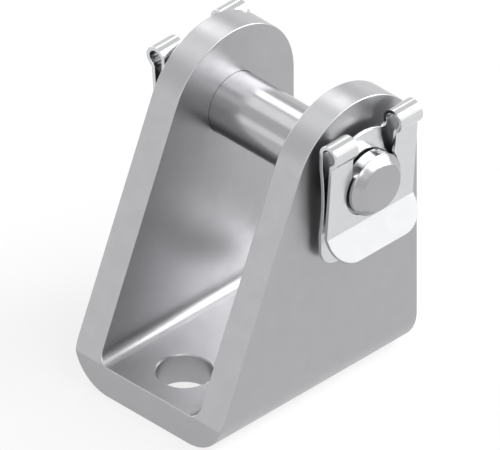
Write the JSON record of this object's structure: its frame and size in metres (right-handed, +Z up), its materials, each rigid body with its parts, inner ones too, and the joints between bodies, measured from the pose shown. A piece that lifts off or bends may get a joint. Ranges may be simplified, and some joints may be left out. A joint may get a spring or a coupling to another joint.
{
  "type": "cylinder clevis foot",
  "caption": "Folded sheet-metal clevis foot with slanted ears, a grooved pin kept by spring clips and bolt holes in its base, to hinge the rear eye of a round air cylinder.",
  "frame": {"origin": "centre of the two base holes, on the underside of the base", "axes": "+Z up from the base, X along the pin, +Y towards the upright rear edges of the ears"},
  "size_m": [0.0322, 0.032, 0.04],
  "materials": {
    "plated_sheet": "satin zinc plating on folded steel sheet",
    "ground_pin": "bright plated turned steel",
    "spring_sheet": "bright plated spring steel"
  },
  "bodies": {
    "foot": {"bracket": "plated_sheet"},
    "pin": {"clevis_pin": "ground_pin"},
    "clip_near": {"near_clip": "spring_sheet"},
    "clip_far": {"far_clip": "spring_sheet"}
  },
  "joints": [
    {"name": "pin_turn", "type": "hinge", "parent": "foot", "child": "pin", "pos_m": [0, 0.006, 0.03], "axis": [1, 0, 0], "continuous": true},
    {"name": "near_clip_turn", "type": "hinge", "parent": "pin", "child": "clip_near", "pos_m": [0, 0.006, 0.03], "axis": [1, 0, 0], "continuous": true},
    {"name": "far_clip_turn", "type": "hinge", "parent": "pin", "child": "clip_far", "pos_m": [0, 0.006, 0.03], "axis": [1, 0, 0], "continuous": true}
  ]
}
